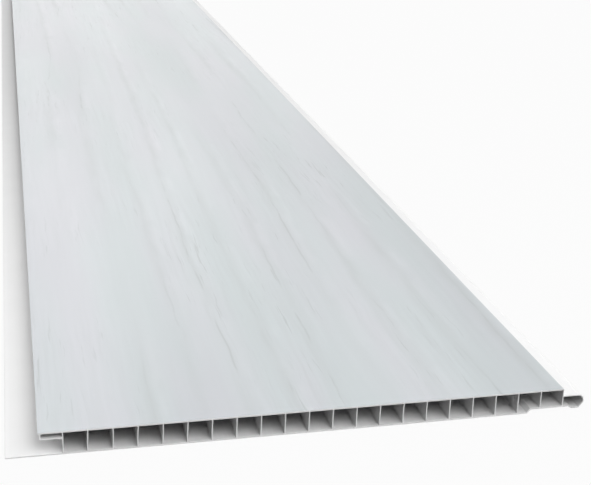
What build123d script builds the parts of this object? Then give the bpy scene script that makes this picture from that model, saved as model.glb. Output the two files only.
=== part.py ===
from build123d import *
from math import radians, tan
import os

# Hollow PVC panel for ceilings and walls, extruded in one piece.
# The section lies in the XZ plane and runs along Y. The decorated face looks up and the back
# lies on the floor. The groove and the fixing flange are on the -X side, the tongue on the +X
# side. The origin is on the floor, under the middle of the whole width, halfway along the panel.

# Overall sizes, in millimetres
face_width = 200.0  # width that one fitted panel covers, from the lip to the tongue-side wall
panel_thickness = 9.0
panel_length = 3000.0
cell_count = 21  # closed cells between the two side walls

# Walls of the extrusion
face_skin = 0.5
back_skin = 0.5
web_wall = 0.35
root_radius = 0.2  # inside corners, in the hollows and at the foot of the side walls
edge_radius = 0.3  # the face's long edge on the tongue side

# Groove side: a thin hollow lip over the groove, and the flange that takes the screws
groove_depth = 8.85  # from the lip's tip to the wall at the back of the groove
groove_radius = 0.7  # inside corner between the lip and the wall
lip_hollow_height = 1.8
lip_floor = 0.5
lip_end_wall = 0.5
lip_undercut = 0.7  # how far the lip's tip stands out past its end wall
lip_undercut_drop = 0.9
lip_tip_radius = 0.12  # the face's long edge on the groove side, nearly sharp
lip_corner_radius = 0.35
flange_overhang = 11.8  # how far the flange reaches past the lip
flange_tip_radius = 0.15

# Tongue side: a hollow bulb on a neck, and a raised strip of back that clears the next flange
tongue_fit = 0.15  # gap above and below the bulb in the next panel's groove
tongue_end_gap = 0.75  # gap between the bulb's nose and the wall of that groove
tongue_wall = 0.35
neck_length = 2.1  # from the side wall to where the bulb starts to drop
bulb_slope = 1.1  # run of the slope from the neck down to the bulb's underside
bulb_flat = 2.9  # flat underside of the bulb
nose_rise = 2.3  # height of the nose's lower corner above the bulb's underside
nose_top_radius = 2.0
nose_side_radius = 1.6
nose_foot_radius = 0.9
neck_radius = 0.7
relief_height = 1.5  # room for the next panel's flange and its screw heads
relief_gap = 1.5  # free space past the tip of that flange
step_angle = 45.0  # slope of the step from the back up to the raised strip

# Heights in the section
face_underside = panel_thickness - face_skin
lip_hollow_floor = face_underside - lip_hollow_height
groove_top = lip_hollow_floor - lip_floor
bulb_bottom = back_skin + tongue_fit
tongue_top = groove_top - tongue_fit

# Places across the section
tongue_reach = groove_depth - tongue_end_gap
section_width = flange_overhang + face_width + tongue_reach
flange_tip = -section_width / 2
lip_tip = flange_tip + flange_overhang
lip_end = lip_tip + lip_undercut
groove_wall = lip_tip + groove_depth
side_wall = lip_tip + face_width
nose_tip = side_wall + tongue_reach

# The nose's two upper corners share its upright side, so a low tongue gets smaller ones
nose_side = tongue_top - bulb_bottom - nose_rise
nose_top_fillet = min(nose_top_radius, nose_side * 2 / 3)
nose_side_fillet = min(nose_side_radius, nose_side / 2)
bulb_start = side_wall + neck_length + bulb_slope
bulb_end = bulb_start + bulb_flat
relief_start = side_wall - flange_overhang - relief_gap
step_foot = relief_start - relief_height / tan(radians(step_angle))

# The cells run from the groove's wall to the tongue-side wall, at an equal spacing
cells_start = groove_wall + web_wall
cells_end = side_wall - web_wall
web_pitch = (cells_end - cells_start + web_wall) / cell_count


# The corner of a sketch that lies nearest to a place
def corner(sketch, x, z):
    return sketch.vertices().sort_by_distance((x, z))[0]


# Solid outline of the panel, without the tongue
with BuildSketch() as outline:
    with BuildLine():
        Polyline(
            (flange_tip, 0),
            (step_foot, 0),
            (relief_start, relief_height),
            (side_wall, relief_height),
            (side_wall, panel_thickness),
            (lip_tip, panel_thickness),
            (lip_end, panel_thickness - lip_undercut_drop),
            (lip_end, groove_top),
            (groove_wall, groove_top),
            (groove_wall, back_skin),
            (flange_tip, back_skin),
            close=True,
        )
    make_face()
    fillet(corner(outline, side_wall, panel_thickness), edge_radius)
    fillet(corner(outline, lip_tip, panel_thickness), lip_tip_radius)
    fillet(outline.vertices().group_by(Axis.X)[0], flange_tip_radius)
    fillet(corner(outline, lip_end, groove_top), lip_corner_radius)
    fillet(corner(outline, groove_wall, groove_top), groove_radius)
    fillet(corner(outline, groove_wall, back_skin), root_radius)

# Solid outline of the tongue, from inside the side wall to the nose
with BuildSketch() as tongue:
    with BuildLine():
        Polyline(
            (side_wall - tongue_wall, relief_height),
            (side_wall + neck_length, relief_height),
            (bulb_start, bulb_bottom),
            (bulb_end, bulb_bottom),
            (nose_tip, bulb_bottom + nose_rise),
            (nose_tip, tongue_top),
            (side_wall - tongue_wall, tongue_top),
            close=True,
        )
    make_face()
    fillet(corner(tongue, nose_tip, tongue_top), nose_top_fillet)
    fillet(corner(tongue, nose_tip, bulb_bottom + nose_rise), nose_side_fillet)
    fillet(corner(tongue, bulb_end, bulb_bottom), nose_foot_radius)
    fillet(corner(tongue, bulb_start, bulb_bottom), neck_radius)
    fillet(corner(tongue, side_wall + neck_length, relief_height), neck_radius)

with BuildSketch() as tongue_hollow:
    offset(tongue.sketch_local, amount=-tongue_wall)
    fillet(tongue_hollow.vertices().group_by(Axis.X)[0], root_radius)

# The cells: one long hollow that follows the step in the back, cut by the webs
step_shift = back_skin * tan(radians(step_angle / 2))
with BuildSketch() as cells:
    with BuildLine():
        Polyline(
            (cells_start, back_skin),
            (step_foot - step_shift, back_skin),
            (relief_start - step_shift, relief_height + back_skin),
            (cells_end, relief_height + back_skin),
            (cells_end, face_underside),
            (cells_start, face_underside),
            close=True,
        )
    make_face()
    with Locations(((cells_start + cells_end) / 2, panel_thickness / 2)):
        with GridLocations(web_pitch, 0, cell_count - 1, 1):
            Rectangle(web_wall, panel_thickness, mode=Mode.SUBTRACT)

# Each cell is drawn in and let out again, which rounds its corners wherever the step crosses it
with BuildSketch() as rounded_cells:
    for cell in cells.sketch_local.faces():
        core = offset(cell, amount=-root_radius, kind=Kind.INTERSECTION, mode=Mode.PRIVATE)
        offset(core, amount=root_radius, mode=Mode.ADD)

with BuildSketch() as lip_hollow:
    with Locations((lip_end + lip_end_wall, lip_hollow_floor)):
        Rectangle(
            groove_wall - lip_end - lip_end_wall,
            lip_hollow_height,
            align=(Align.MIN, Align.MIN),
        )
    fillet(lip_hollow.vertices(), root_radius)

# The whole section, with the small root where the tongue meets the side wall
with BuildSketch() as section:
    add(outline.sketch_local)
    add(tongue.sketch_local)
    fillet(corner(section, side_wall, tongue_top), root_radius)
    add(tongue_hollow.sketch_local, mode=Mode.SUBTRACT)
    add(rounded_cells.sketch_local, mode=Mode.SUBTRACT)
    add(lip_hollow.sketch_local, mode=Mode.SUBTRACT)

# The panel is the section drawn out along its length
with BuildPart() as pvc_panel:
    with BuildSketch(Plane.XZ):
        add(section.sketch_local)
    extrude(amount=panel_length / 2, both=True)

os.makedirs("parts", exist_ok=True)
pvc_panel.part.label = "pvc_panel"
export_step(pvc_panel.part, "parts/pvc_panel.step")
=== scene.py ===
# %% [markdown]
# # A hollow PVC panel for ceilings and walls
#
# The real thing is one long extrusion: soft PVC is pushed through a steel die and comes out with
# its two skins, its webs, its groove and its tongue in one go. The top is then printed with a pale
# wood grain. This lesson draws the section of the die, lets Geometry Nodes repeat the cells and
# draw the section out along its length, and then gives the plastic and the print their looks.

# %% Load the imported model
import math

import bpy
from mathutils import Matrix, Vector


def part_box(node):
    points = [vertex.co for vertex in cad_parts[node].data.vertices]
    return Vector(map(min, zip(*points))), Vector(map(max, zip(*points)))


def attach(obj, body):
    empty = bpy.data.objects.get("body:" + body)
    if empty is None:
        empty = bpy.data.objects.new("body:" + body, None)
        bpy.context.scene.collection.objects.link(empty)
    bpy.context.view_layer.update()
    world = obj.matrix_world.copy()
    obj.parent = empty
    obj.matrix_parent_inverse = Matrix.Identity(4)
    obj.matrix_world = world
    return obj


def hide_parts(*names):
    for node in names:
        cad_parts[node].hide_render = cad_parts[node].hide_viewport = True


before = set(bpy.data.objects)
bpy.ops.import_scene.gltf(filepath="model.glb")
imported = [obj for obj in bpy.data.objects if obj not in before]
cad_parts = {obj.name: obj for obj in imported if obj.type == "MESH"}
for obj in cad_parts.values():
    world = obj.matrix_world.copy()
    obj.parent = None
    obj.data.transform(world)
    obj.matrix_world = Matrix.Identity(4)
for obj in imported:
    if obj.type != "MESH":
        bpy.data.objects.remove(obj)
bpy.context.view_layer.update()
low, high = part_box("pvc_panel")
print("CAD panel, mm:", [round(1000 * side, 2) for side in high - low])

# %% [markdown]
# ## Sizes
#
# A die maker thinks in millimetres, Blender in metres. The length and the thickness are read off
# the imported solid. Every other size is written once, in millimetres, and turned into metres where
# it is used. The names are those of a fitter: the lip hides the joint, the flange takes the
# screws, the tongue goes into the next panel's groove.

# %% Sizes of the section, in millimetres
MM = 0.001
panel_length = 1000 * (high.y - low.y)
thickness = 1000 * (high.z - low.z)
face_width = 200.0
cell_count = 21
face_skin, back_skin, web_wall = 0.5, 0.5, 0.35
root_radius, edge_radius = 0.2, 0.3
groove_depth, groove_radius = 8.85, 0.7
lip_hollow_height, lip_floor, lip_end_wall = 1.8, 0.5, 0.5
lip_undercut, lip_undercut_drop, lip_tip_radius, lip_corner_radius = 0.7, 0.9, 0.12, 0.35
flange_tip_radius = 0.15
tongue_fit, tongue_wall = 0.15, 0.35
neck_length, bulb_slope, bulb_flat, nose_rise = 2.1, 1.1, 2.9, 2.3
neck_radius, nose_foot_radius, nose_side_radius, nose_top_radius = 0.7, 0.9, 1.6, 2.0
relief_height, relief_gap, flange_overhang = 1.5, 1.5, 11.8
step_angle = math.radians(45)
print("walls, mm: face", face_skin, " back", back_skin, " webs", web_wall)

# %% Places in the section
ceiling = thickness - face_skin
lip_hollow_floor = ceiling - lip_hollow_height
groove_top = lip_hollow_floor - lip_floor
tongue_top = groove_top - tongue_fit
bulb_bottom = back_skin + tongue_fit
flange_tip = 1000 * low.x
nose_tip = 1000 * high.x
lip_tip = flange_tip + flange_overhang
lip_end = lip_tip + lip_undercut
groove_wall = lip_tip + groove_depth
side_wall = lip_tip + face_width
bulb_start = side_wall + neck_length + bulb_slope
bulb_end = bulb_start + bulb_flat
step_top = side_wall - flange_overhang - relief_gap
step_foot = step_top - relief_height / math.tan(step_angle)
web_pitch = (side_wall - groove_wall - web_wall) / cell_count
print("web pitch, mm:", round(web_pitch, 3), " tongue reach, mm:", round(nose_tip - side_wall, 3))

# %% [markdown]
# ## The outline of the die
#
# Three closed lines are particular to this panel: the outside, the small hollow in the lip and the
# hollow in the tongue. They could be traced by eye, but they are short enough to type as corners,
# which keeps every size exact. Each corner carries the radius of its rounding in the curve point's
# own Radius, so that Geometry Nodes can round it later. The outside runs anticlockwise and the
# hollows clockwise, which makes all walls face outwards.

# %% Corners of the outside
outside = [
    (flange_tip, 0, flange_tip_radius),
    (step_foot, 0, 0),
    (step_top, relief_height, 0),
    (side_wall + neck_length, relief_height, neck_radius),
    (bulb_start, bulb_bottom, neck_radius),
    (bulb_end, bulb_bottom, nose_foot_radius),
    (nose_tip, bulb_bottom + nose_rise, nose_side_radius),
    (nose_tip, tongue_top, nose_top_radius),
    (side_wall, tongue_top, root_radius),
    (side_wall, thickness, edge_radius),
    (lip_tip, thickness, lip_tip_radius),
    (lip_end, thickness - lip_undercut_drop, 0),
    (lip_end, groove_top, lip_corner_radius),
    (groove_wall, groove_top, groove_radius),
    (groove_wall, back_skin, root_radius),
    (flange_tip, back_skin, flange_tip_radius),
]
tongue_corners = outside[3:8]
print("corners outside:", len(outside), " of them on the tongue:", len(tongue_corners))


# %% Corners of the two hollows
def drawn_in(corners, wall):
    """The same corners, moved inwards so that each side lies one wall further in."""
    moved = []
    for i, (x, z, radius) in enumerate(corners):
        here = Vector((x, z))
        before = (here - Vector(corners[i - 1][:2])).normalized()
        after = (Vector(corners[(i + 1) % len(corners)][:2]) - here).normalized()
        turn = before.cross(after)
        place = here + wall * (after - before) / turn
        moved.append((place.x, place.y, max(radius - math.copysign(wall, turn), 0)))
    return moved


tongue = [
    (side_wall - tongue_wall, relief_height, 0),
    *tongue_corners,
    (side_wall - tongue_wall, tongue_top, 0),
]
tongue_hollow = [
    (x, z, max(radius, root_radius)) for x, z, radius in drawn_in(tongue, tongue_wall)
]
lip_hollow = [
    (lip_end + lip_end_wall, lip_hollow_floor, root_radius),
    (groove_wall, lip_hollow_floor, root_radius),
    (groove_wall, ceiling, root_radius),
    (lip_end + lip_end_wall, ceiling, root_radius),
]
print("corners of the tongue's hollow:", len(tongue_hollow), " of the lip's:", len(lip_hollow))


# %% The outline as a curve object
def closed_line(curve, corners):
    spline = curve.splines.new("POLY")
    spline.points.add(len(corners) - 1)
    for point, (x, z, radius) in zip(spline.points, corners):
        point.co = (x * MM, z * MM, 0, 1)
        point.radius = radius * MM
    spline.use_cyclic_u = True


outline = bpy.data.curves.new("die_outline", "CURVE")
outline.dimensions = "3D"
for corners in (outside, tongue_hollow[::-1], lip_hollow[::-1]):
    closed_line(outline, corners)
print("closed lines in the outline:", len(outline.splines))


# %% [markdown]
# ## Helpers for node trees
#
# Geometry trees and shader trees are wired in the same way. `add` makes one node, sets its
# options and fills its inputs, either with a value or with another node's output. `calc` is
# for one step of arithmetic.

# %% Two small helpers
def add(tree, kind, inputs=None, **options):
    made = tree.nodes.new(kind)
    for name, value in options.items():
        setattr(made, name, value)
    for name, value in (inputs or {}).items():
        socket = made.inputs[name]
        if isinstance(value, bpy.types.NodeSocket):
            tree.links.new(value, socket)
        else:
            socket.default_value = value
    return made


def calc(tree, operation, *values, clamp=False):
    numbered = dict(enumerate(values))
    return add(tree, "ShaderNodeMath", numbered, operation=operation, use_clamp=clamp).outputs[0]


# %% [markdown]
# ## The cells
#
# In the die, a row of steel cores leaves the cells free and the gaps between the cores become
# the webs. The cells are the part that repeats, so Geometry Nodes make them: one rounded
# rectangle, set out on a line of points one web pitch apart. The sizes come into the tree by
# name, so each can be read and changed in one place. At the end all lines are joined, and each
# says whether it is a hollow: the outside comes first, and all others are.

# %% A tree with named inputs
die = bpy.data.node_groups.new("drawn_panel", "GeometryNodeTree")
die_sizes = {
    "Cell Count": ("NodeSocketInt", cell_count),
    "Web Pitch": ("NodeSocketFloat", web_pitch * MM),
    "Web Wall": ("NodeSocketFloat", web_wall * MM),
    "First Web": ("NodeSocketFloat", (groove_wall + web_wall / 2) * MM),
    "Floor": ("NodeSocketFloat", back_skin * MM),
    "Ceiling": ("NodeSocketFloat", ceiling * MM),
    "Root Radius": ("NodeSocketFloat", root_radius * MM),
    "Step Foot": ("NodeSocketFloat", step_foot * MM),
    "Step Top": ("NodeSocketFloat", step_top * MM),
    "Step Rise": ("NodeSocketFloat", relief_height * MM),
    "Length": ("NodeSocketFloat", panel_length * MM),
    "Slices": ("NodeSocketInt", 36),
    "Web Bow": ("NodeSocketFloat", 0.16 * MM),
    "Web Lean": ("NodeSocketFloat", 0.4 * MM),
    "Skin Sag": ("NodeSocketFloat", 0.02 * MM),
    "Seed": ("NodeSocketInt", 4),
    "Plastic": ("NodeSocketMaterial", None),
}
die.interface.new_socket("Outline", in_out="INPUT", socket_type="NodeSocketGeometry")
for name, (kind, _) in die_sizes.items():
    die.interface.new_socket(name, in_out="INPUT", socket_type=kind)
die.interface.new_socket("Panel", in_out="OUTPUT", socket_type="NodeSocketGeometry")
given = add(die, "NodeGroupInput").outputs
print("inputs of the tree:", len(given) - 1)


# %% Round the outline's corners
def rounded(line, radius):
    return add(die, "GeometryNodeFilletCurve", {
        "Curve": line, "Count": 4, "Radius": radius,
    }, mode="POLY").outputs[0]


corner_radius = add(die, "GeometryNodeInputRadius").outputs[0]
rounded_outline = rounded(given["Outline"], corner_radius)
print("rounded corners outside:", sum(radius > 0 for _, _, radius in outside))

# %% Set out the cells
cell_width = calc(die, "SUBTRACT", given["Web Pitch"], given["Web Wall"])
cell_height = calc(die, "SUBTRACT", given["Ceiling"], given["Floor"])
cell = add(die, "GeometryNodeCurvePrimitiveQuadrilateral", {"Width": cell_width, "Height": cell_height})
cell = rounded(cell.outputs[0], given["Root Radius"])
first_x = calc(die, "MULTIPLY_ADD", given["Web Pitch"], 0.5, given["First Web"])
middle = calc(die, "MULTIPLY_ADD", cell_height, 0.5, given["Floor"])
places = add(die, "GeometryNodeMeshLine", {
    "Count": given["Cell Count"],
    "Start Location": add(die, "ShaderNodeCombineXYZ", {"X": first_x, "Y": middle}).outputs[0],
    "Offset": add(die, "ShaderNodeCombineXYZ", {"X": given["Web Pitch"]}).outputs[0],
})
cells = add(die, "GeometryNodeInstanceOnPoints", {"Points": places.outputs[0], "Instance": cell})
cells = add(die, "GeometryNodeRealizeInstances", {"Geometry": cells.outputs[0]})
cells = add(die, "GeometryNodeReverseCurve", {"Curve": cells.outputs[0]})
print("cells to set out:", cell_count, " each, mm wide:", round(web_pitch - web_wall, 3))


# %% Join the lines, each marked as a hollow or not
def marked_hollow(lines, value):
    return add(die, "GeometryNodeStoreNamedAttribute", {
        "Geometry": lines, "Name": "hollow", "Value": value,
    }, data_type="FLOAT", domain="CURVE").outputs[0]


after_the_first = calc(die, "GREATER_THAN", add(die, "GeometryNodeInputIndex").outputs[0], 0.5)
section = add(die, "GeometryNodeJoinGeometry")
for lines, value in ((rounded_outline, after_the_first), (cells.outputs[0], 1.0)):
    die.links.new(marked_hollow(lines, value), section.inputs[0])


# %% [markdown]
# ## The step in the back
#
# Near the tongue the back steps up, which leaves room for the next panel's flange and screws.
# The step crosses one cell, and the floor of the cells follows it. A line with points at its
# corners only can't follow anything, so each straight run first gets points about a millimetre
# apart, and closer ones near the step. Then the points of the cells are lifted: fully at the
# floor, not at all at the ceiling. The mark `hollow` keeps the outside where it is, because it
# has its own step already.

# %% Put points along the straight runs
def split(vector):
    return add(die, "ShaderNodeSeparateXYZ", {0: vector}).outputs


wide_spacing, close_spacing = 1.05 * MM, 0.15 * MM
position = add(die, "GeometryNodeInputPosition").outputs[0]
index = add(die, "GeometryNodeInputIndex").outputs[0]
next_index = add(die, "GeometryNodeOffsetPointInCurve", {"Point Index": index, "Offset": 1})
next_place = add(die, "GeometryNodeFieldAtIndex", {
    "Index": next_index.outputs["Point Index"], "Value": position,
}, data_type="FLOAT_VECTOR").outputs["Value"]
run = add(die, "ShaderNodeVectorMath", {0: position, 1: next_place}, operation="DISTANCE")
off_step = calc(die, "ABSOLUTE", calc(die, "SUBTRACT", split(position)["X"], given["Step Foot"]))
spacing = add(die, "GeometryNodeSwitch", {
    "Switch": calc(die, "LESS_THAN", off_step, given["Web Pitch"]),
    "False": wide_spacing, "True": close_spacing,
}, input_type="FLOAT").outputs[0]
cuts = calc(die, "FLOOR", calc(die, "DIVIDE", run.outputs["Value"], spacing))
section = add(die, "GeometryNodeSubdivideCurve", {"Curve": section.outputs[0], "Cuts": cuts})
print("points, mm apart:", round(wide_spacing / MM, 2), " near the step:", round(close_spacing / MM, 2))

# %% Lift the floor of the cells over the step
x, z, _ = split(position)
last_web = calc(die, "MULTIPLY_ADD", given["Web Pitch"], given["Cell Count"], given["First Web"])
in_cells = calc(die, "LESS_THAN", x, last_web)
hollow = add(die, "GeometryNodeInputNamedAttribute", {"Name": "hollow"}, data_type="FLOAT").outputs[0]
step_shift = calc(die, "MULTIPLY", given["Floor"], math.tan(step_angle / 2))
floor_line = add(die, "ShaderNodeMapRange", {
    "Value": calc(die, "ADD", x, step_shift),
    "From Min": given["Step Foot"], "From Max": given["Step Top"],
    "To Min": 0.0, "To Max": given["Step Rise"],
}).outputs[0]
height_left = calc(die, "DIVIDE", calc(die, "SUBTRACT", given["Ceiling"], z), cell_height)
lift = calc(die, "MULTIPLY", calc(die, "MULTIPLY", floor_line, height_left), hollow)
section = add(die, "GeometryNodeSetPosition", {
    "Geometry": section.outputs[0], "Selection": in_cells,
    "Offset": add(die, "ShaderNodeCombineXYZ", {"Y": lift}).outputs[0],
}).outputs[0]
print("the step runs from x, mm:", round(step_foot, 2), "to", round(step_top, 2))

# %% [markdown]
# ## Length and ends
#
# A puller draws the same section out of the die for as long as it runs. Here the section is
# swept along a straight rail. Extruding the filled section would give the same body, but the
# rail also cuts the walls into slices, which lets the webs bow differently along the way. A saw
# cuts the panel to length, so each end is the section filled in. The seams are merged, which
# leaves one closed body. Two marks stay on the faces for the finish: `inside` for walls that lie
# in a hollow, where the material paints shade, and `cut` for the sawn ends, which it paints
# whiter, partly as a highlight.

# %% Sweep the section
half_length = calc(die, "MULTIPLY", given["Length"], 0.5)
near_end = add(die, "ShaderNodeCombineXYZ", {"Z": half_length}).outputs[0]
far_end = add(die, "ShaderNodeCombineXYZ", {"Z": calc(die, "MULTIPLY", half_length, -1.0)}).outputs[0]
rail = add(die, "GeometryNodeCurvePrimitiveLine", {"Start": far_end, "End": near_end})
rail = add(die, "GeometryNodeResampleCurve", {"Curve": rail.outputs[0], "Count": given["Slices"]})
walls = add(die, "GeometryNodeCurveToMesh", {"Curve": rail.outputs[0], "Profile Curve": section})
print("sections along the rail:", die_sizes["Slices"][1])


# %% Close the two ends
def marked_faces(geometry, name, value):
    return add(die, "GeometryNodeStoreNamedAttribute", {
        "Geometry": geometry, "Name": name, "Value": value,
    }, data_type="FLOAT", domain="FACE").outputs[0]


# The mark `inside` tells the material where to paint shade on the walls of the hollows.
walls = marked_faces(walls.outputs[0], "inside", hollow)
cap = add(die, "GeometryNodeFillCurve", {"Curve": section}, mode="TRIANGLES").outputs[0]
cap = marked_faces(cap, "cut", 1.0)
near_cap = add(die, "GeometryNodeTransform", {"Geometry": cap, "Translation": near_end}).outputs[0]
far_cap = add(die, "GeometryNodeTransform", {"Geometry": cap, "Translation": far_end}).outputs[0]
far_cap = add(die, "GeometryNodeFlipFaces", {"Mesh": far_cap}).outputs[0]
body = add(die, "GeometryNodeJoinGeometry")
for piece in (walls, near_cap, far_cap):
    die.links.new(piece, body.inputs[0])
body = add(die, "GeometryNodeMergeByDistance", {"Geometry": body.outputs[0], "Distance": 0.002 * MM})

# %% [markdown]
# ## The unevenness of a real extrusion
#
# Hot plastic never keeps quite straight. In the picture the webs lean, their feet about 0.4 mm
# nearer to the groove than their heads, and each one is bowed a little. The face sinks about
# two hundredths of a millimetre between them. Counting in web pitches tells each point which web
# it is nearest to and how far it is from it. A web bows as a half wave between floor and ceiling,
# by an amount drawn for that web, and the face sags as a full wave from web to web. Both sides
# of a wall move alike, so no wall gets thinner.

# %% Find the nearest web of each point
x, z, along = split(position)
pitches = calc(die, "DIVIDE", calc(die, "SUBTRACT", x, given["First Web"]), given["Web Pitch"])
nearest = calc(die, "ROUND", pitches)
off_web = calc(die, "ABSOLUTE", calc(die, "SUBTRACT", pitches, nearest))
near_web = add(die, "ShaderNodeMapRange", {
    "Value": calc(die, "MULTIPLY", off_web, given["Web Pitch"]),
    "From Min": calc(die, "MULTIPLY", given["Web Pitch"], 0.5), "From Max": given["Web Wall"],
    "To Min": 0.0, "To Max": 1.0,
}).outputs[0]
past_first = calc(die, "GREATER_THAN", nearest, 0.5)
before_last = calc(die, "LESS_THAN", nearest, calc(die, "SUBTRACT", given["Cell Count"], 0.5))
up_to_last = calc(die, "LESS_THAN", nearest, calc(die, "ADD", given["Cell Count"], 0.5))
floor_here = calc(die, "ADD", given["Floor"], floor_line)
height_here = calc(die, "SUBTRACT", given["Ceiling"], floor_here)
up_web = calc(die, "DIVIDE", calc(die, "SUBTRACT", z, floor_here), height_here, clamp=True)
print("webs between the cells:", cell_count - 1)

# %% Bow the webs and let them lean
half_wave = calc(die, "SINE", calc(die, "MULTIPLY", up_web, math.pi))
drawn = add(die, "FunctionNodeRandomValue", {
    "Min": -1.0, "Max": 1.0, "ID": nearest, "Seed": given["Seed"],
}, data_type="FLOAT")
# Along the panel each bow swells and fades between a half and the whole, every web in its own time
drift = calc(die, "COSINE", calc(die, "MULTIPLY_ADD", along, 5.0, calc(die, "MULTIPLY", nearest, 1.7)))
drift = calc(die, "MULTIPLY_ADD", drift, 0.25, 0.75)
bow = calc(die, "MULTIPLY", calc(die, "MULTIPLY", given["Web Bow"], drawn.outputs["Value"]), drift)
bow = calc(die, "MULTIPLY", calc(die, "MULTIPLY", bow, half_wave), before_last)
lean = calc(die, "MULTIPLY", calc(die, "SUBTRACT", up_web, 1.0), given["Web Lean"])
lean = calc(die, "MULTIPLY", lean, up_to_last)
sideways = calc(die, "MULTIPLY", calc(die, "ADD", bow, lean), calc(die, "MULTIPLY", near_web, past_first))

# %% Let the face sag, and move the points
between = calc(die, "SUBTRACT", 1.0, calc(die, "COSINE", calc(die, "MULTIPLY", pitches, math.tau)))
past_start = calc(die, "GREATER_THAN", pitches, 0.0)
before_end = calc(die, "LESS_THAN", pitches, given["Cell Count"])
over_cells = calc(die, "MULTIPLY", past_start, before_end)
in_face = calc(die, "GREATER_THAN", z, calc(die, "SUBTRACT", given["Ceiling"], 0.001 * MM))
sag = calc(die, "MULTIPLY", calc(die, "MULTIPLY", given["Skin Sag"], -0.5), between)
sag = calc(die, "MULTIPLY", sag, calc(die, "MULTIPLY", over_cells, in_face))
body = add(die, "GeometryNodeSetPosition", {
    "Geometry": body.outputs[0],
    "Offset": add(die, "ShaderNodeCombineXYZ", {"X": sideways, "Y": sag}).outputs[0],
})
print("nodes so far:", len(die.nodes))

# %% [markdown]
# ## Where the print goes
#
# The roller prints the top only. A face of the mesh gets the mark `film` when it looks up and
# lies above the ceiling of the cells. So far the panel stands on its end, with the section in
# the XY plane; now it is laid on its back. Bends of more than 32 degrees stay crisp and all
# others shade softly, which suits both the sawn edges and the rounded corners.

# %% Mark the printed faces
faces_up = calc(die, "GREATER_THAN", split(add(die, "GeometryNodeInputNormal").outputs[0])["Y"], 0.9)
above_cells = calc(die, "GREATER_THAN", z, calc(die, "ADD", given["Ceiling"], 0.3 * MM))
body = marked_faces(body.outputs[0], "film", calc(die, "MULTIPLY", faces_up, above_cells))

# %% Lay the panel down, shade its edges and give it its plastic
crisp_bend = math.radians(32)
body = add(die, "GeometryNodeTransform", {"Geometry": body, "Rotation": (math.pi / 2, 0, 0)})
bend = add(die, "GeometryNodeInputMeshEdgeAngle").outputs["Unsigned Angle"]
body = add(die, "GeometryNodeSetShadeSmooth", {"Geometry": body.outputs[0], "Shade Smooth": True})
body = add(die, "GeometryNodeSetShadeSmooth", {
    "Geometry": body.outputs[0], "Selection": calc(die, "GREATER_THAN", bend, crisp_bend),
    "Shade Smooth": False,
}, domain="EDGE")
body = add(die, "GeometryNodeRealizeInstances", {"Geometry": body.outputs[0]})
body = add(die, "GeometryNodeSetMaterial", {"Geometry": body.outputs[0], "Material": given["Plastic"]})
add(die, "NodeGroupOutput", {"Panel": body.outputs[0]})
print("nodes in the tree:", len(die.nodes))

# %% [markdown]
# ## Wood grain
#
# The grain is printed in pale grey on white. It is that of a plank: the year rings show as long
# lines that run side by side, waver together and fade in and out. A picture of wood could be laid
# on instead, but it would repeat over three metres, and noise doesn't. A sine across the panel
# makes the lines, and slow noise bends and spaces them. Other noises say where they are lively
# and break them into soft beads and thin dashes. Between them lie broad tones, fine fibres and
# short dark pores. All noise is squeezed across the panel and stretched along it, as grain is.

# %% Three helpers for patterns
def stretched_noise(tree, vector, across, along, detail=2.0, shift=0.0):
    """Noise with so many bumps to the metre across the panel, and so many along it."""
    scaled = add(tree, "ShaderNodeMapping", {
        "Vector": vector, "Location": (shift, 0, 0), "Scale": (across, along, across),
    }).outputs[0]
    noise = add(tree, "ShaderNodeTexNoise", {"Vector": scaled, "Scale": 1.0, "Detail": detail})
    return noise.outputs["Fac"]


def smooth_range(tree, value, start, end):
    return add(tree, "ShaderNodeMapRange", {"Value": value, "From Min": start, "From Max": end},
               interpolation_type="SMOOTHSTEP").outputs[0]


def wave(tree, phase):
    return calc(tree, "MULTIPLY_ADD", calc(tree, "SINE", phase), 0.5, 0.5)


# %% A group for the grain, and its bends
grain = bpy.data.node_groups.new("printed_grain", "ShaderNodeTree")
grain.interface.new_socket("Place", in_out="INPUT", socket_type="NodeSocketVector")
for name in ("Streaks", "Fibres", "Tone", "Pores"):
    grain.interface.new_socket(name, in_out="OUTPUT", socket_type="NodeSocketFloat")
waver_reach, wiggle_reach = 0.016, 0.0036
place = add(grain, "NodeGroupInput").outputs["Place"]
waver = stretched_noise(grain, place, across=8, along=1.3, detail=3.0)
waver = calc(grain, "SUBTRACT", waver, 0.5)
wiggle = stretched_noise(grain, place, across=60, along=26.0, detail=3.0, shift=21.0)
wiggle = calc(grain, "MULTIPLY", calc(grain, "SUBTRACT", wiggle, 0.5), wiggle_reach)
bend = calc(grain, "MULTIPLY_ADD", waver, waver_reach, wiggle)
bend = add(grain, "ShaderNodeCombineXYZ", {"X": bend}).outputs[0]
grain_place = add(grain, "ShaderNodeVectorMath", {0: place, 1: bend}, operation="ADD").outputs[0]

# %% Ring lines, evenly spaced before noise spreads them
rings_per_metre, ring_spread, pale_side_shift = 50.0, 2.4, 1.3
ring_place = add(grain, "ShaderNodeSeparateXYZ", {0: grain_place}).outputs["X"]
spread = stretched_noise(grain, place, across=5, along=0.8, shift=5.0)
spread = calc(grain, "MULTIPLY", spread, ring_spread)
phase = calc(grain, "MULTIPLY_ADD", ring_place, rings_per_metre, spread)
phase = calc(grain, "MULTIPLY", phase, math.tau)
rings = wave(grain, phase)
beside_rings = wave(grain, calc(grain, "SUBTRACT", phase, pale_side_shift))
print("ring lines across the face:", round(face_width * MM * rings_per_metre))

# %% Where the rings show as soft streaks
streak_sharpness = 4.5
lively = stretched_noise(grain, grain_place, across=26, along=2.6, shift=40.0)
lively = smooth_range(grain, lively, 0.40, 0.64)
beads = stretched_noise(grain, grain_place, across=190, along=30.0, detail=3.0, shift=4.0)
streaks = calc(grain, "MULTIPLY", calc(grain, "POWER", rings, streak_sharpness), lively)
streaks = calc(grain, "MULTIPLY", streaks, calc(grain, "MULTIPLY_ADD", beads, 2.2, -0.15))

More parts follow.
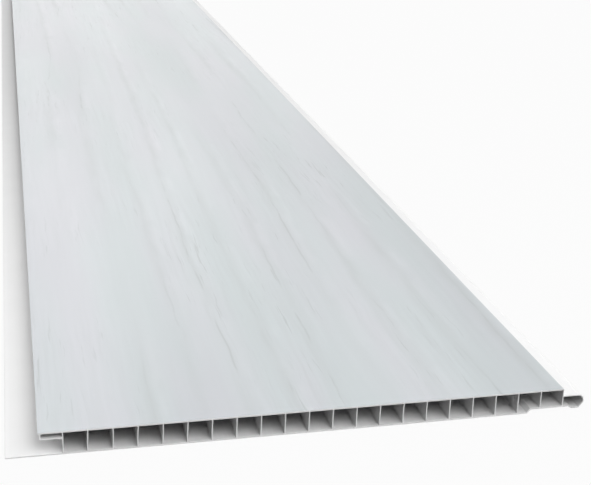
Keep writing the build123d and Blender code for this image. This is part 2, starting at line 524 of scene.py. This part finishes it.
# %% Where they show as thin dashes
dash_sharpness = 150.0
dashes = stretched_noise(grain, grain_place, across=60, along=19.0, shift=31.0)
dashes = smooth_range(grain, dashes, 0.42, 0.56)
thin_line = calc(grain, "MULTIPLY", calc(grain, "POWER", rings, dash_sharpness), dashes)
drawn_lines = stretched_noise(grain, grain_place, across=21, along=2.2, shift=15.0)
drawn_lines = smooth_range(grain, drawn_lines, 0.50, 0.60)

# %% Broad tones, paler beside the rings
pale_side_strength = 0.2
tone = stretched_noise(grain, grain_place, across=17, along=1.6, detail=2.5, shift=7.0)
tone = calc(grain, "MULTIPLY_ADD", tone, 1.4, -0.2)
pale_side = calc(grain, "MULTIPLY", lively, dashes)
pale_side = calc(grain, "MULTIPLY", calc(grain, "POWER", beside_rings, 4.0), pale_side)
tone = calc(grain, "MULTIPLY_ADD", pale_side, pale_side_strength, tone)

# %% Fibres and pores
patches = stretched_noise(grain, grain_place, across=34, along=7.0, shift=9.0)
patches = smooth_range(grain, patches, 0.42, 0.66)
fibres = stretched_noise(grain, grain_place, across=420, along=15.0, detail=3.0, shift=2.0)
fibres = calc(grain, "SUBTRACT", fibres, 0.5)
fibres = calc(grain, "MULTIPLY_ADD", fibres, calc(grain, "ADD", patches, 0.35), 0.5)
pores = stretched_noise(grain, grain_place, across=620, along=26.0, shift=3.0)
pores = calc(grain, "MULTIPLY", smooth_range(grain, pores, 0.38, 0.27), patches)
pores = calc(grain, "MAXIMUM", pores, calc(grain, "MULTIPLY", thin_line, drawn_lines))
add(grain, "NodeGroupOutput", {"Streaks": streaks, "Fibres": fibres, "Tone": tone, "Pores": pores})
print("nodes in the grain:", len(grain.nodes))

# %% [markdown]
# ## Plastic and print
#
# The body is plain white PVC, satin where the cooled calibrator behind the die has pressed it.
# The face carries the print: a darker and a paler grey, cool in one place and warm in another
# where the inks drift, with the streaks and pores over them. The walls of the hollows are painted
# greyer, as painted shade in the cells. The sawn ends are dull, with the marks of the saw, and
# painted whiter, partly as a painted highlight where they face the lamps. Four materials could be
# put on four groups of faces, but one material that reads the marks on the mesh does the same, and
# the body stays one piece with one plastic.

# %% Three helpers for colours
def blend(tree, amount, first, second):
    """One colour over another; either may be a plain colour or another node's output."""
    return add(tree, "ShaderNodeMix", {0: amount, 6: first, 7: second}, data_type="RGBA").outputs[2]


def blend_values(tree, amount, first, second):
    return add(tree, "ShaderNodeMix", {0: amount, 2: first, 3: second}).outputs[0]


def grey(level, red=1.0, green=1.0, blue=1.0):
    return (level * red, level * green, level * blue, 1)


# %% Colours of the print
plastic = bpy.data.materials.new("white_pvc_with_print")
plastic.use_nodes = True
mat = plastic.node_tree
mat.nodes.clear()
object_place = add(mat, "ShaderNodeTexCoord").outputs["Object"]
printed = add(mat, "ShaderNodeGroup", {"Place": object_place}, node_tree=grain).outputs
cool = blend(mat, printed["Tone"], grey(0.55, 0.90, 1.0, 1.01), grey(0.705, 0.94, 1.0, 1.025))
warm = blend(mat, printed["Tone"], grey(0.55, 0.935, 0.98, 1.03), grey(0.705, 0.985, 0.985, 1.04))
ink_drift = stretched_noise(mat, object_place, across=30, along=4.0, shift=50.0)
ink_drift = smooth_range(mat, ink_drift, 0.3, 0.7)
film = blend(mat, ink_drift, cool, warm)

# %% Fibres, streaks and pores over them
fibre_ink, streak_ink, pore_ink = 0.6, 0.31, 0.45
fibres = calc(mat, "SUBTRACT", 0.62, printed["Fibres"])
fibres = calc(mat, "MULTIPLY", fibres, fibre_ink, clamp=True)
film = blend(mat, fibres, film, grey(0.50, 0.95, 1.0, 1.02))
streaks = calc(mat, "MULTIPLY", printed["Streaks"], streak_ink)
film = blend(mat, streaks, film, grey(0.50, 0.94, 1.0, 1.0))
pores = calc(mat, "MULTIPLY", printed["Pores"], pore_ink)
film = blend(mat, pores, film, grey(0.42, 0.93, 1.0, 1.0))
print("nodes in the print's colours:", len(mat.nodes))

# %% Marks on the mesh, lines from the die and marks of the saw
is_film = add(mat, "ShaderNodeAttribute", attribute_name="film").outputs["Fac"]
is_inside = add(mat, "ShaderNodeAttribute", attribute_name="inside").outputs["Fac"]
is_cut = add(mat, "ShaderNodeAttribute", attribute_name="cut").outputs["Fac"]
mottle = add(mat, "ShaderNodeTexNoise", {"Vector": object_place, "Scale": 40.0, "Detail": 3.0})
draw_lines = stretched_noise(mat, object_place, across=900, along=1.5, detail=3.0, shift=1.0)
saw_marks = add(mat, "ShaderNodeMapping", {
    "Vector": object_place, "Rotation": (0, math.radians(28), 0), "Scale": (5200, 60, 260),
}).outputs[0]
saw_marks = add(mat, "ShaderNodeTexNoise", {"Vector": saw_marks, "Scale": 1.0, "Detail": 2.0})
saw_marks = saw_marks.outputs["Fac"]

# %% Colours of the body, the hollows with painted shade and the sawn ends with a painted highlight
plain = blend(mat, mottle.outputs["Fac"], grey(0.86), grey(0.91))
plain = blend(mat, calc(mat, "MULTIPLY", draw_lines, 0.25), plain, grey(0.78))
# Painted shade: the walls of the hollows are greyer than the body, which darkens the cells.
painted_shade_in_hollows = blend(mat, draw_lines, grey(0.67), grey(0.73))
# Partly a painted highlight: the sawn ends are whiter than the body where they face the lamps; the saw
# marks are real.
sawn_with_painted_highlight = blend(mat, saw_marks, grey(0.90), grey(0.96))
colour = blend(mat, is_inside, plain, painted_shade_in_hollows)
colour = blend(mat, is_cut, colour, sawn_with_painted_highlight)
colour = blend(mat, is_film, colour, film)

# %% Gloss
sawn_roughness = 0.78
film_roughness = calc(mat, "MULTIPLY_ADD", printed["Streaks"], 0.02, 0.34)
plain_roughness = calc(mat, "MULTIPLY_ADD", draw_lines, 0.16, 0.62)
roughness = blend_values(mat, is_film, plain_roughness, film_roughness)
roughness = blend_values(mat, is_cut, roughness, sawn_roughness)

# %% Fine relief, a few hundredths of a millimetre deep
relief_depth = 0.02 * MM
film_relief = calc(mat, "MULTIPLY", printed["Fibres"], 0.25)
film_relief = calc(mat, "MULTIPLY_ADD", printed["Streaks"], -0.1, film_relief)
film_relief = calc(mat, "SUBTRACT", film_relief, printed["Pores"])
plain_relief = calc(mat, "MULTIPLY", draw_lines, 1.2)
sawn_relief = calc(mat, "MULTIPLY", saw_marks, 2.0)
relief = blend_values(mat, is_film, plain_relief, film_relief)
relief = blend_values(mat, is_cut, relief, sawn_relief)
bumped = add(mat, "ShaderNodeBump", {"Height": relief, "Strength": 0.5, "Distance": relief_depth})

# %% The material's surface
shader = add(mat, "ShaderNodeBsdfPrincipled", {
    "Base Color": colour, "Roughness": roughness, "IOR": 1.5, "Normal": bumped.outputs[0],
})
add(mat, "ShaderNodeOutputMaterial", {"Surface": shader.outputs[0]})
print("nodes in the material:", len(mat.nodes))

# %% [markdown]
# ## The finished panel
#
# The outline curve takes the tree as a modifier, and the sizes are handed to its inputs by name.
# What it draws is read once and kept as a plain mesh; the curve has done its work and goes. The
# mesh then takes the place of the imported solid, which is hidden, and hangs from the body `root`.

# %% Draw the panel
outline.materials.append(plastic)
maker = bpy.data.objects.new("die_line", outline)
bpy.context.scene.collection.objects.link(maker)
drawing = maker.modifiers.new("drawn_panel", "NODES")
sockets = {s.name: s.identifier for s in die.interface.items_tree if s.in_out == "INPUT"}
drawing.node_group = die
print("sizes handed over:", len(die_sizes) - 1)
for name, (_, value) in die_sizes.items():
    drawing[sockets[name]] = plastic if name == "Plastic" else value

# %% Keep it as a plain mesh
mesh = bpy.data.meshes.new_from_object(maker.evaluated_get(bpy.context.evaluated_depsgraph_get()))
bpy.data.objects.remove(maker)
mesh.name = "hollow_panel"
panel = bpy.data.objects.new("hollow_panel", mesh)
bpy.context.scene.collection.objects.link(panel)
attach(panel, "root")
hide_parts("pvc_panel")
mesh.calc_loop_triangles()
mesh.materials.pop(index=0)
print("panel:", len(mesh.vertices), "points,", len(mesh.loop_triangles), "triangles,", list(mesh.materials))

# %% [markdown]
# ## Camera
#
# The camera stands at the cut end and looks along the panel. Its place and lens come from lining
# up the webs and the long edges with the picture.

# %% Camera
camera_data = bpy.data.cameras.new("camera")
camera_data.sensor_width = 36.0
camera_data.lens = 85.6
camera_data.clip_start = 0.01
camera_data.clip_end = 60.0
camera = bpy.data.objects.new("camera", camera_data)
bpy.context.scene.collection.objects.link(camera)
camera_place = (-0.0973, -1.9684, 0.2258)
yaw, pitch, roll = math.radians(11.312), math.radians(17.546), math.radians(-0.085)
look = Vector((math.sin(yaw) * math.cos(pitch), math.cos(yaw) * math.cos(pitch), -math.sin(pitch)))
right = Vector((math.cos(yaw), -math.sin(yaw), 0))
up = right.cross(look)
right, up = right * math.cos(roll) + up * math.sin(roll), up * math.cos(roll) - right * math.sin(roll)
turn = Matrix((right, up, -look)).transposed().to_4x4()
camera.matrix_world = Matrix.Translation(camera_place) @ turn
bpy.context.scene.camera = camera
print("camera's angle of view:", round(math.degrees(camera_data.angle), 1), "degrees")

# %% [markdown]
# ## The table
#
# The panel lies on a large white table. Cameras see it almost as bright as paper, while the
# light that it throws back on to the panel is that of a dull board. A table as bright as it
# looks would shine up into the cells and take away the dark of their ceilings.

# %% The table
table_side, table_height = 60.0, -0.0001
half = table_side / 2
table_corners = [(-half, -half), (half, -half), (half, half), (-half, half)]
table_mesh = bpy.data.meshes.new("table")
table_mesh.from_pydata([(x, y, table_height) for x, y in table_corners], [], [(0, 1, 2, 3)])
table = bpy.data.objects.new("table", table_mesh)
bpy.context.scene.collection.objects.link(table)
print("table, m:", table_side, "square, below the panel by", -table_height)

# %% Its white
seen_share = 0.9
white = bpy.data.materials.new("white_table")
white.use_nodes = True
tree = white.node_tree
tree.nodes.clear()
board = add(tree, "ShaderNodeBsdfDiffuse", {"Color": grey(0.15)}).outputs[0]
glow = add(tree, "ShaderNodeEmission", {"Color": grey(1.0), "Strength": 1.06}).outputs[0]
seen = add(tree, "ShaderNodeLightPath").outputs["Is Camera Ray"]
seen = calc(tree, "MULTIPLY", seen, seen_share)
surface = add(tree, "ShaderNodeMixShader", {0: seen, 1: board, 2: glow}).outputs[0]
add(tree, "ShaderNodeOutputMaterial", {"Surface": surface})
table_mesh.materials.append(white)
print("the table's material:", white.name)

# %% [markdown]
# ## Lamps and room
#
# Wide soft lamps stand in front of the cut end: one low, one high at the right and one almost
# overhead. They reach into the cells at different slopes, so the cells darken softly inwards. A
# small lamp at the left lifts the shade beside the lip, and one over the far half keeps that
# half white. The room is dim, with a wide window at the right. Low behind the panel stands a
# bright screen: the satin face mirrors it at a flat angle, and so grows paler the farther it
# runs.

# %% The lamps
def lamp(name, place, aim, size, power, spread=180):
    light = bpy.data.lights.new(name, "AREA")
    light.size, light.energy, light.spread = size, power, math.radians(spread)
    made = bpy.data.objects.new(name, light)
    made.location = place
    made.rotation_euler = (Vector(aim) - Vector(place)).to_track_quat("-Z", "Y").to_euler()
    made.visible_camera = False
    bpy.context.scene.collection.objects.link(made)


near_cut_end = (0, -1.3, 0)
lamp("lamp_front", (0.4, -3.4, 1.45), near_cut_end, size=1.2, power=18.5)
lamp("lamp_right", (0.9, -3.6, 2.2), near_cut_end, size=2.0, power=18.5)
lamp("lamp_left", (-0.5, -1.42, 0.45), (0, -1.4, 0), size=0.35, power=0.85)
lamp("lamp_over", (0.3, -2.6, 2.8), near_cut_end, size=2.4, power=27.0)
lamp("lamp_far", (0.2, 1.3, 2.7), (0.2, 1.29, 0), size=1.2, power=10.0, spread=90)

# %% Directions around the room
world = bpy.data.worlds.new("studio")
bpy.context.scene.world = world
world.use_nodes = True
tree = world.node_tree
tree.nodes.clear()
facing = add(tree, "ShaderNodeTexCoord").outputs["Generated"]
x, y, z = add(tree, "ShaderNodeSeparateXYZ", {0: facing}).outputs
level = calc(tree, "ARCSINE", z)
bearing = calc(tree, "ARCTAN2", x, y)


def fade(angle, start, end):
    """From 0 at the first angle to 1 at the second, both in degrees."""
    return smooth_range(tree, angle, math.radians(start), math.radians(end))


# %% The screen, the window and the dim rest
screen_light, screen_middle, window_light = 0.98, 0.83, 1.6
room_light, overhead_light = 0.08, 0.34
behind = calc(tree, "MULTIPLY", fade(bearing, -14, -7), fade(bearing, 52, 40))
low_behind = calc(tree, "MULTIPLY", fade(level, 23, 17), behind)
screen = calc(tree, "MULTIPLY_ADD", fade(bearing, 17, 5), screen_middle, screen_light)
screen = calc(tree, "MULTIPLY", low_behind, screen)
beside = calc(tree, "MULTIPLY", fade(bearing, 38, 52), fade(bearing, 142, 128))
window = calc(tree, "MULTIPLY", fade(level, 12, 20), fade(level, 58, 40))
window = calc(tree, "MULTIPLY", calc(tree, "MULTIPLY", beside, window), window_light)
room = calc(tree, "MULTIPLY_ADD", fade(level, 5, 85), overhead_light, room_light)
strength = calc(tree, "ADD", room, calc(tree, "ADD", screen, window))
sky = add(tree, "ShaderNodeBackground", {"Color": grey(1.0), "Strength": strength})
add(tree, "ShaderNodeOutputWorld", {"Surface": sky.outputs[0]})
bpy.context.scene.view_settings.view_transform = "Standard"
print("nodes in the room:", len(tree.nodes))
